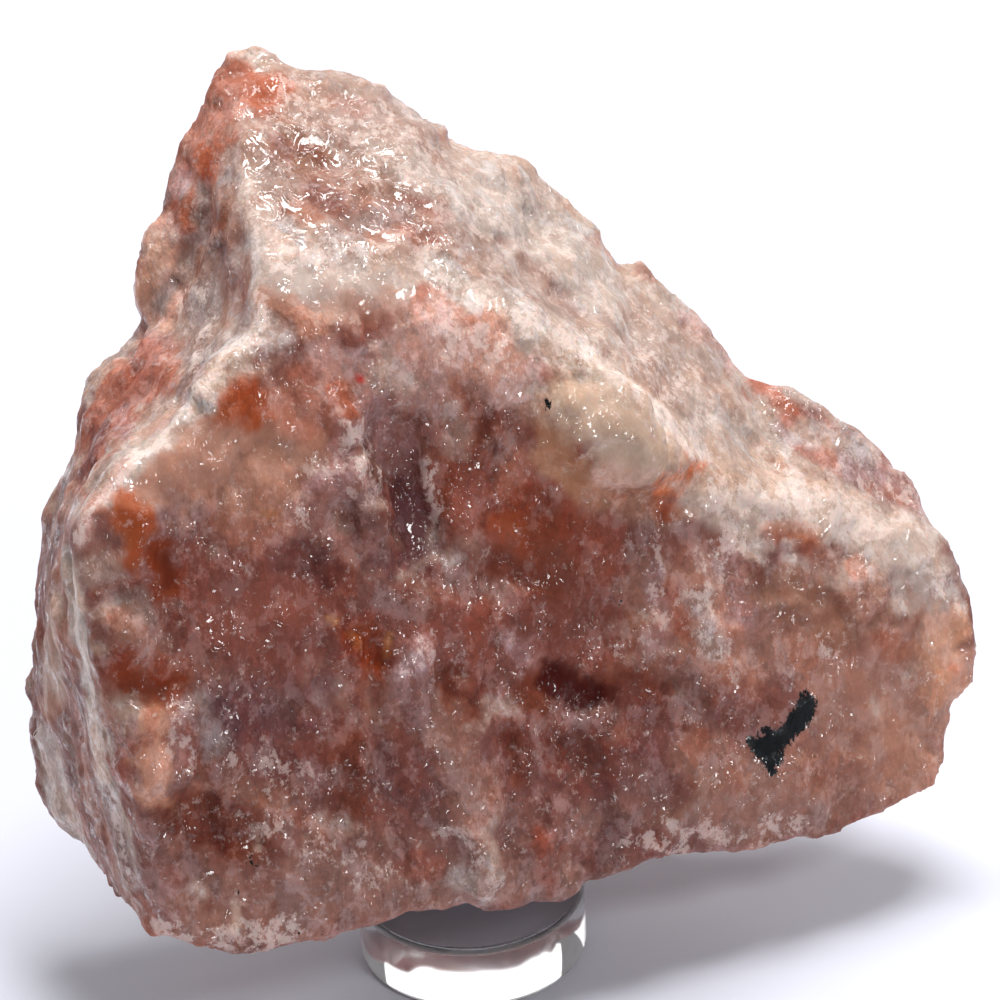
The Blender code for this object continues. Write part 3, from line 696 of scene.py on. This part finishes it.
        ("clay", 0.85, 20, (126, 620), (130, 646)),
        ("olive brown", 0.7, 12, (128, 632), (132, 644)),
        ("lilac grey", 0.6, 7, (118, 592), (140, 594), (150, 618)),
        ("burnt orange", 0.9, 24, (126, 672), (160, 688)),
        ("red brown", 0.4, 14, (140, 686), (158, 692)),
        ("apricot", 0.7, 18, (150, 715), (152, 760), (160, 795)),
        ("blush", 0.6, 13, (152, 742), (158, 786)),
        ("salmon", 0.7, 8, (150, 712), (146, 740)),
    ],
    "left shoulder": [
        ("salmon", 0.95, 32, (150, 362), (120, 395), (95, 440)),
        ("rust", 0.5, 24, (140, 380), (92, 450)),
        ("rust", 0.6, 12, (150, 350), (140, 372)),
        ("lilac", 0.8, 9, (122, 412), (124, 438)),
        ("lilac", 0.6, 7, (170, 345), (135, 335)),
        ("maroon", 0.6, 8, (182, 380), (176, 392)),
        ("plum brown", 0.9, 16, (96, 436), (84, 470)),
        ("rust", 0.7, 9, (80, 492), (92, 514)),
        ("pale pink", 0.95, 18, (236, 354), (202, 396), (160, 442), (124, 464)),
        ("rose", 0.7, 8, (124, 462), (98, 500), (80, 545)),
        ("rose", 0.5, 9, (200, 372), (180, 410), (150, 430)),
        ("chalk", 0.45, 8, (221, 361), (203, 390), (180, 424)),
    ],
    "left edge, with a painted rim glint": [
        # The pale pink and chalk lines along the left rim are partly frost and partly a painted glint.
        ("pale pink", 0.95, 12, (70, 560), (80, 640), (93, 700), (112, 800), (128, 880)),
        ("plum", 0.5, 3, (64, 560), (74, 660), (90, 760), (110, 860)),
        ("chalk", 0.8, 8, (74, 570), (82, 640), (92, 730), (104, 800)),
        ("tan", 0.85, 20, (52, 600), (48, 700)),
        ("pale pink", 0.55, 18, (52, 600), (50, 690)),
        ("bone", 0.8, 22, (45, 750), (58, 800), (80, 840)),
        ("bone", 0.6, 8, (50, 790), (66, 826)),
        ("fawn", 0.6, 8, (70, 740), (92, 810)),
        ("mauve", 0.8, 9, (104, 790), (128, 880), (140, 930)),
    ],
}

# Marks like the stains, but each with a strength instead of a tint. Frost comes first: places where
# the surface is crazed and powdery white; a few of its marks are painted glints in the same white.
MARK_EDGE = (0.2, 2.0)
FINE_WARP_LENGTH = 1.1 * MM
FINE_WARP_SHARE = 0.6
FROST_AND_GLINT_MARKS = [
    (0.6, 9, (252, 185), (253, 250), (262, 300), (247, 344)),
    (0.75, 8, (247, 344), (221, 361), (203, 385), (182, 422), (160, 446), (134, 459)),
    (0.8, 6, (134, 459), (110, 485), (91, 511), (77, 541)),
    (0.45, 50, (300, 110), (420, 170), (480, 210)),
    (0.45, 44, (530, 230), (620, 320), (700, 410)),
    (0.85, 14, (428, 252), (446, 276)),
    (0.6, 18, (280, 262), (330, 252), (400, 248)),
    (0.7, 14, (470, 288), (530, 322), (600, 362), (660, 415), (700, 450)),
    (0.6, 22, (440, 340), (500, 350)),
    (0.7, 20, (720, 500), (800, 500), (880, 525)),
    (0.8, 9, (840, 525), (868, 540)),
    (0.7, 12, (352, 425), (366, 470)),
    (0.45, 14, (318, 462), (350, 490)),
    (0.7, 12, (430, 470), (440, 520)),
    (0.55, 14, (424, 640), (402, 690)),
    (0.5, 16, (655, 560), (662, 600), (656, 650)),
    (0.6, 16, (700, 590), (722, 660)),
    (0.6, 16, (740, 520), (720, 560)),
    (0.5, 12, (296, 492), (300, 520)),
    # The short mark below is painted glints, not frost.
    (0.4, 10, (590, 642), (616, 644)),
    (0.6, 14, (172, 700), (182, 760)),
    (0.4, 22, (230, 760), (300, 780)),
    (0.45, 18, (250, 830), (330, 850), (400, 880)),
    (0.7, 12, (160, 930), (230, 935), (300, 930)),
    (0.5, 18, (450, 830), (490, 850), (490, 895)),
    (0.6, 14, (640, 845), (720, 835), (800, 825)),
    (0.7, 7, (668, 822), (684, 834)),
    (0.6, 9, (820, 640), (835, 660)),
    (0.6, 14, (210, 300), (196, 368)),
    # Along the left rim: partly frost, partly a painted glint.
    (0.75, 5, (72, 560), (80, 640), (93, 700), (112, 800), (128, 880)),
    (0.6, 14, (50, 760), (70, 830)),
    (0.6, 12, (930, 560), (955, 610)),
    (0.5, 20, (860, 470), (910, 500)),
]

# Wet places: glassy skin with the strongest glints.
WET_MARKS = [
    (1.0, 40, (260, 140), (310, 190), (350, 215)),
    (0.9, 26, (330, 160), (400, 200), (440, 240)),
    (0.7, 16, (350, 270), (385, 280)),
    (0.8, 10, (240, 250), (246, 320)),
    (0.5, 8, (246, 78), (266, 86)),
    (0.7, 24, (395, 420), (400, 500), (415, 560)),
    (0.8, 12, (410, 585), (470, 594), (525, 584)),
    (0.6, 18, (470, 420), (480, 490), (520, 440)),
    (0.7, 16, (576, 402), (600, 420)),
    (0.6, 12, (560, 570), (585, 580)),
    (0.6, 12, (582, 640), (622, 647)),
    (0.6, 12, (552, 706), (608, 720)),
    (0.5, 18, (345, 625), (388, 650)),
    (0.5, 14, (300, 530), (340, 560)),
    (0.5, 14, (140, 745), (155, 750)),
]

# Deep places: clear feldspar, through which the darker inside shows.
DEEP_MARKS = [
    (0.9, 14, (166, 545), (158, 595)),
    (0.6, 20, (132, 510), (134, 560)),
    (0.8, 20, (132, 680), (162, 692)),
    (0.8, 20, (396, 440), (404, 500), (408, 550)),
    (0.8, 18, (540, 686), (606, 688)),
    (0.6, 24, (560, 745), (612, 770)),
    (0.7, 22, (290, 560), (335, 572)),
    (0.35, 14, (336, 328), (400, 330)),
    (0.7, 9, (652, 509), (686, 512)),
    (0.6, 20, (350, 640), (375, 655)),
    (0.7, 24, (185, 820), (240, 835)),
    (0.7, 13, (512, 738), (516, 778)),
    (0.7, 14, (452, 684), (468, 715)),
    (0.5, 24, (480, 480), (560, 540)),
    (0.6, 9, (487, 418), (490, 444)),
    (0.5, 26, (790, 590), (840, 630)),
    (0.6, 14, (203, 158), (184, 212)),
    (0.5, 30, (110, 390), (90, 450)),
    (0.5, 16, (348, 750), (352, 795)),
    (0.5, 14, (630, 650), (652, 700)),
    (0.5, 20, (300, 150), (330, 200)),
]

# Clear places: smooth feldspar with no veil over it.
CLEAR_MARKS = [
    (0.9, 34, (590, 412), (640, 450)),
    (0.7, 24, (548, 440), (580, 490)),
    (0.8, 20, (290, 284), (345, 290), (390, 286)),
    (0.8, 18, (345, 318), (390, 318)),
    (0.75, 40, (160, 470), (230, 450), (290, 440)),
    (0.8, 24, (132, 505), (134, 555)),
    (0.8, 16, (166, 545), (158, 595)),
    (0.7, 14, (222, 290), (228, 325)),
    (0.7, 20, (95, 565), (75, 545)),
    (0.6, 26, (790, 590), (840, 625)),
    (0.6, 30, (940, 620), (950, 680)),
    (0.6, 24, (690, 510), (760, 525)),
    (0.6, 30, (500, 540), (560, 560)),
    (0.5, 24, (300, 660), (340, 690)),
    (0.5, 20, (620, 780), (660, 800)),
    (0.7, 16, (404, 500), (412, 545)),
    (0.7, 20, (245, 85), (262, 90)),
    (0.8, 18, (546, 682), (600, 684)),
    (0.7, 22, (130, 680), (160, 690)),
    (0.5, 16, (150, 720), (156, 780)),
    (0.5, 22, (250, 180), (256, 300)),
    (0.6, 30, (780, 500), (880, 530), (935, 590)),
    (0.6, 44, (870, 670), (890, 750)),
    (0.5, 30, (700, 800), (800, 800)),
    (0.5, 30, (230, 600), (300, 620)),
    (0.4, 30, (560, 620), (620, 600)),
    (0.55, 50, (480, 190), (560, 260), (640, 330), (720, 410)),
    (0.5, 40, (330, 100), (420, 160)),
    (0.8, 16, (562, 440), (578, 470)),
    (0.6, 34, (50, 620), (50, 780)),
    (0.6, 26, (820, 720), (900, 640)),
]

# Black grains in the feldspar, each with its half width in pixels and the points it runs through. A
# grain narrower than BLACK_CRISP_PX has a crisper edge, so that it stays in one piece.
BLACK_WARP = 0.6
BLACK_WARP_PX = 5.0
BLACK_CRISP_PX = 6.0
BLACK_GRAINS = [
    (10, (808, 702), (788, 734)),
    (12, (802, 710), (795, 724)),
    (4, (812, 696), (810, 703)),
    (10, (784, 736), (769, 745)),
    (12, (762, 748), (772, 756)),
    (6, (771, 758), (772, 769)),
    (4, (748, 740), (762, 745)),
    (4, (766, 731), (777, 739)),
    (3, (548, 400), (549, 408)),
    (1.6, (528, 388), (528, 389)),
    (2, (621, 602), (621, 605)),
    (1.5, (535, 598), (536, 599)),
    (2, (221, 828), (222, 832)),
    (2, (239, 819), (239, 822)),
    (1.6, (250, 852), (252, 865), (258, 867)),
    (1.6, (331, 813), (332, 813)),
    (1.8, (188, 894), (188, 896)),
    (1.8, (238, 891), (238, 893)),
    (1.6, (322, 933), (323, 933)),
    (1.6, (300, 933), (301, 933)),
    (1.6, (124, 876), (124, 877)),
    (1.8, (487, 868), (488, 868)),
    (2, (502, 874), (503, 874)),
]


def linear(screen_colour):
    """Light values of a colour given as it is on a screen."""
    share = np.array(screen_colour) / 255.0
    return np.where(share <= 0.04045, share / 12.92, ((share + 0.055) / 1.055) ** 2.4)


# Ground colour, under the strokes and all over the back: clouds of other tints over mauve, and pale
# pink where the surface faces up, which is painted light from above.
FACING_UP = (0.25, 0.75)
TOP_LIGHT_SHARE = 0.75

places, normals = corners_of(stone.data)
ground = np.tile(linear(TINTS["mauve"]), (len(places), 1))
for tint, strength, lengths, shift, low, high in (
    # tint, strength, lengths in mm, shift of the noise, and where in it the tint sets in and is full
    ("rust", 0.8, (5.0, 8.0, 6.0), 27.5, -0.2, 0.4),
    ("tan", 0.7, (9.0, 14.0, 9.0), 2.2, 0.0, 0.5),
    ("lilac", 0.4, (2.4, 4.0, 3.0), 51.0, 0.1, 0.6),
    ("red brown", 0.5, (2.6, 4.4, 3.0), 63.0, 0.2, 0.6),
):
    cover = strength * eased(grain(places, lengths, shift, cloud_at), low, high)
    ground += (linear(TINTS[tint]) - ground) * cover[:, None]
# Painted light: surfaces that face up are made paler pink, as if lit from above.
painted_top_light = TOP_LIGHT_SHARE * eased(normals[:, 2] + 0.3 * grain(places, (6.0, 6.0, 6.0), 40.0), *FACING_UP)
ground += (linear(TINTS["pale pink"]) - ground) * painted_top_light[:, None]

# The stains and painted glints, each over those before it.
ragged = STAIN_RAGGED * grain(places, (1.2, 1.7, 1.2), 11.8, cloud_at)
seen = in_picture(places)
warp = turbulence_at(places, WARP_LENGTH, 4)
for strokes in STAINS_AND_PAINTED_GLINTS.values():
    for tint, strength, half_width, *points in strokes:
        shifted = seen + warp * min(WARP_PX, half_width * STAIN_WARP)
        reach = distance_to_stroke(shifted, points) / half_width + ragged
        cover = strength * (1.0 - eased(reach, *STAIN_EDGE))
        ground += (linear(TINTS[tint]) - ground) * cover[:, None]

tint_layer = stone.data.color_attributes.new("tint", "FLOAT_COLOR", "POINT")
tint_values = np.column_stack((ground, np.ones(len(ground))))
tint_layer.data.foreach_set("color", tint_values.astype(np.float32).ravel())


def carry(name, values):
    """Keep one number per corner on the stone's mesh, for the finish to read."""
    layer = stone.data.attributes.new(name, "FLOAT", "POINT")
    layer.data.foreach_set("value", values.astype(np.float32))


# The marks. Their outlines wander more finely too.
UPRIGHT = (0.3, 0.6)

warp += turbulence_at(places, FINE_WARP_LENGTH, 3) * FINE_WARP_SHARE
for layer_name, least, marks in (
    ("frost_and_glints", 0.15, FROST_AND_GLINT_MARKS), ("deep", 0.15, DEEP_MARKS),
    ("wet", 0.0, WET_MARKS), ("clear", 0.15, CLEAR_MARKS),
):
    amount = np.full(len(places), least)
    for strength, half_width, *points in marks:
        shifted = seen + warp * min(WARP_PX, half_width)
        reach = distance_to_stroke(shifted, points) / half_width
        amount = np.maximum(amount, strength * (1.0 - eased(reach, *MARK_EDGE)))
    carry(layer_name, amount)
carry("upright", 1.0 - eased(normals[:, 2], *UPRIGHT))

black = np.full(len(places), WARP_PX)
for half_width, *points in BLACK_GRAINS:
    shifted = seen + warp * min(BLACK_WARP_PX, half_width * BLACK_WARP)
    outside = (distance_to_stroke(shifted, points) - half_width) * max(1.0, BLACK_CRISP_PX / half_width)
    black = np.minimum(black, outside)
carry("outside_black", black)

# Finish of the stone. The mesh carries the tint, the amounts of frost and painted glints, depth, wetness
# and clearness, how upright the surface is, and the distance to the nearest black grain.
feldspar = bpy.data.materials.new("feldspar")
feldspar.use_nodes = True
tree = feldspar.node_tree
shader = tree.nodes["Principled BSDF"]
crystal_turn = Matrix(crystal.T.tolist()).to_euler()


def add_node(kind, inputs, **settings):
    """One node of the feldspar finish, with its inputs set or linked."""
    item = tree.nodes.new(kind)
    for name, value in settings.items():
        setattr(item, name, value)
    for name, value in inputs.items():
        if isinstance(value, bpy.types.NodeSocket):
            tree.links.new(value, item.inputs[name])
        else:
            item.inputs[name].default_value = value
    return item


where = add_node("ShaderNodeTexCoord", {}).outputs["Object"]


def in_crystal(lengths):
    """Places counted in lengths in mm: across, up and out of the front face."""
    return add_node("ShaderNodeMapping", {
        "Vector": where, "Rotation": crystal_turn, "Scale": Vector(lengths) * MM,
    }, vector_type="TEXTURE").outputs["Vector"]


def pattern(lengths, detail, roughness, distortion=0.0):
    """Noise with grains of the given lengths in mm."""
    return add_node("ShaderNodeTexNoise", {
        "Vector": in_crystal(lengths), "Scale": 1.0, "Detail": detail,
        "Roughness": roughness, "Distortion": distortion,
    }).outputs["Fac"]


def ramp(value, low, high, start=0.0, end=1.0):
    """Smooth step of a value between two levels."""
    return add_node("ShaderNodeMapRange", {
        "Value": value, "From Min": low, "From Max": high, "To Min": start, "To Max": end,
    }, interpolation_type="SMOOTHSTEP").outputs["Result"]


def reckon(operation, first, second=0.0):
    """One step of arithmetic."""
    return add_node("ShaderNodeMath", {0: first, 1: second}, operation=operation).outputs[0]


def mixed(share, first, second, blend="MIX"):
    """Two colours mixed by a share."""
    item = add_node("ShaderNodeMix", {0: share, 6: first, 7: second}, data_type="RGBA", blend_type=blend)
    return item.outputs[2]


def times(first, second):
    """Two colours multiplied."""
    return mixed(1.0, first, second, "MULTIPLY")


def carried(name, output="Fac"):
    """A value that the stone's mesh carries."""
    return add_node("ShaderNodeAttribute", {}, attribute_name=name).outputs[output]


# Crystals of two sizes and a fine grain make the tint lighter or darker, and warmer or cooler.
CRYSTAL_WANDER = 0.8
COARSE_SHARE = 0.24
SMALL_SHARE = 0.2
WARMER = (1.02, 0.94, 0.86, 1.0)
COOLER = (0.91, 1.0, 1.06, 1.0)


def crystals(lengths):
    """Random values of crystals that meet at wandering edges."""
    straight = in_crystal(lengths)
    drift = add_node("ShaderNodeTexNoise", {
        "Vector": straight, "Scale": 1.3, "Detail": 1.0, "Roughness": 0.6,
    })
    moved = add_node("ShaderNodeVectorMath", {
        0: drift.outputs["Color"], 1: (CRYSTAL_WANDER,) * 3, 2: straight,
    }, operation="MULTIPLY_ADD")
    cells = add_node("ShaderNodeTexVoronoi", {"Vector": moved.outputs["Vector"], "Scale": 1.0})
    return add_node("ShaderNodeSeparateColor", {"Color": cells.outputs["Color"]})


coarse = crystals((2.6, 4.2, 3.0))
small = crystals((0.9, 1.4, 1.0))
tone = reckon(
    "ADD",
    reckon("MULTIPLY", coarse.outputs[0], COARSE_SHARE),
    reckon("MULTIPLY", small.outputs[0], SMALL_SHARE),
)
tone = reckon("ADD", tone, ramp(pattern((0.45, 0.6, 0.45), 3.0, 0.68), 0.34, 0.66, 0.46, 0.67))
tint = carried("tint", "Color")
colour = times(tint, tone)
colour = times(colour, mixed(coarse.outputs[1], WARMER, COOLER))

# The deeper the feldspar is seen into, the darker and redder it is.
DEPTH_OF_COLOUR = (0.66, 0.42, 0.34, 1.0)
DEPTH_PULL = 0.3

deep = carried("deep")
deep_here = reckon("ADD", pattern((1.5, 2.3, 1.5), 3.0, 0.58), reckon("MULTIPLY", deep, DEPTH_PULL))
colour = mixed(ramp(deep_here, 0.58, 0.76, 0.0, 0.7), colour, times(colour, DEPTH_OF_COLOUR))

# Milky veils lie over it in patches, less so in the deep places. Between them the colour is fuller.
VEIL = (0.55, 0.40, 0.38, 1.0)
VEIL_SHARE = 0.16
VEIL_LIFT = (1.2, 1.22, 1.24, 1.0)
UNVEILED = (0.92, 0.79, 0.72, 1.0)
VEIL_PULL = 0.15

veil_here = reckon("SUBTRACT", pattern((1.9, 2.9, 1.9), 4.0, 0.74), reckon("MULTIPLY", deep, VEIL_PULL))
veiled = mixed(VEIL_SHARE, times(colour, VEIL_LIFT), VEIL)
colour = mixed(ramp(veil_here, 0.46, 0.57), times(colour, UNVEILED), veiled)

# Clear places keep their plain tint.
CLEAR_SHARE = 0.88
CLEAR_TONE = (0.77, 0.75, 0.72, 1.0)

clear = carried("clear")
colour = mixed(reckon("MULTIPLY", clear, CLEAR_SHARE), colour, times(tint, CLEAR_TONE))

# Frost whitens the surface in ragged patches, thinly all over and thickly where it is marked; a few marked
# places are painted glints in the same white.
FROST = (0.94, 0.77, 0.70, 1.0)
FROST_SHARE = 0.6
FROST_PULL = 0.3

frost_and_glints = carried("frost_and_glints")
frost_and_glint_here = reckon("ADD", pattern((1.2, 1.6, 1.2), 4.0, 0.8), reckon("MULTIPLY", frost_and_glints, FROST_PULL))
frost_and_glint_cover = reckon("MULTIPLY", ramp(frost_and_glint_here, 0.62, 0.72), ramp(frost_and_glints, 0.0, 1.0, 0.35, 0.95))
colour = mixed(frost_and_glint_cover, colour, mixed(FROST_SHARE, colour, FROST))

# Black grains, with fibrous edges.
GRAIN_BLACK = (0.006, 0.008, 0.009, 1.0)
FIBRES_PX = 4.0
GRAIN_EDGE_PX = 1.6

fibres = ramp(pattern((0.25, 0.5, 0.25), 3.0, 0.7), 0.25, 0.75, -FIBRES_PX, FIBRES_PX)
outside_black = reckon("ADD", carried("outside_black"), fibres)
colour = mixed(ramp(outside_black, GRAIN_EDGE_PX, -GRAIN_EDGE_PX), colour, GRAIN_BLACK)
tree.links.new(colour, shader.inputs["Base Color"])

# The stone itself is finely rough. The damp skin over it lies in rounded ridges, and breaks into tiny
# flat chips on upright faces. Chips lean up toward the lamp, each a little its own way.
ROUGH_DEPTH = 0.22 * MM
RIDGE_DEPTH = 1.4 * MM
RIDGE_ROUNDING = 0.004
CHIP_DEPTH = 0.4 * MM
CHIP_SPREAD = 0.7
CHIP_LEAN = (-0.27, -0.76, -0.35)


def chips(lengths):
    """Height of small flat chips, in lengths of a chip."""
    flat = in_crystal(lengths)
    cells = add_node("ShaderNodeTexVoronoi", {"Vector": flat, "Scale": 1.0})
    lean = add_node("ShaderNodeVectorMath", {
        0: cells.outputs["Color"], 1: (CHIP_SPREAD,) * 3, 2: CHIP_LEAN,
    }, operation="MULTIPLY_ADD")
    offset = add_node("ShaderNodeVectorMath", {
        0: flat, 1: cells.outputs["Position"],
    }, operation="SUBTRACT")
    return add_node("ShaderNodeVectorMath", {
        0: lean.outputs["Vector"], 1: offset.outputs["Vector"],
    }, operation="DOT_PRODUCT").outputs["Value"]


rough_bump = add_node("ShaderNodeBump", {
    "Height": pattern((0.6, 0.9, 0.6), 2.0, 0.65), "Distance": ROUGH_DEPTH,
    "Strength": ramp(clear, 0.0, 1.0, 1.0, 0.2),
})
tree.links.new(rough_bump.outputs["Normal"], shader.inputs["Normal"])
swell = reckon("SUBTRACT", pattern((1.7, 2.2, 1.7), 1.0, 0.5, 0.9), 0.5)
ridges = reckon("SQRT", reckon("ADD", reckon("MULTIPLY", swell, swell), RIDGE_ROUNDING))
ridge_bump = add_node("ShaderNodeBump", {"Height": ridges, "Distance": -RIDGE_DEPTH, "Strength": 1.0})
chip_bump = add_node("ShaderNodeBump", {
    "Height": chips((0.26, 0.34, 0.26)), "Distance": CHIP_DEPTH, "Strength": carried("upright"),
    "Normal": ridge_bump.outputs["Normal"],
})
tree.links.new(chip_bump.outputs["Normal"], shader.inputs["Coat Normal"])
damp = ramp(pattern((1.8, 2.4, 1.8), 1.0, 0.55), 0.48, 0.62, 0.03, 0.85)
wetness = reckon("MINIMUM", reckon("ADD", damp, carried("wet")), 1.0)
tree.links.new(wetness, shader.inputs["Coat Weight"])
for socket, value in (
    ("Roughness", 0.5),
    ("Specular IOR Level", 0.1),
    ("IOR", 1.54),
    ("Subsurface Weight", 0.4),
    ("Subsurface Radius", (1.0, 0.5, 0.35)),
    ("Subsurface Scale", 0.6 * MM),
    ("Coat Roughness", 0.06),
    ("Coat IOR", 1.5),
):
    shader.inputs[socket].default_value = value

stone.data.materials.clear()
stone.data.materials.append(feldspar)
for face in stone.data.polygons:
    face.material_index = 0
bpy.ops.object.select_all(action="DESELECT")
stone.select_set(True)
bpy.context.view_layer.objects.active = stone
bpy.ops.object.shade_smooth()
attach(stone, "root")
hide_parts("sunstone")
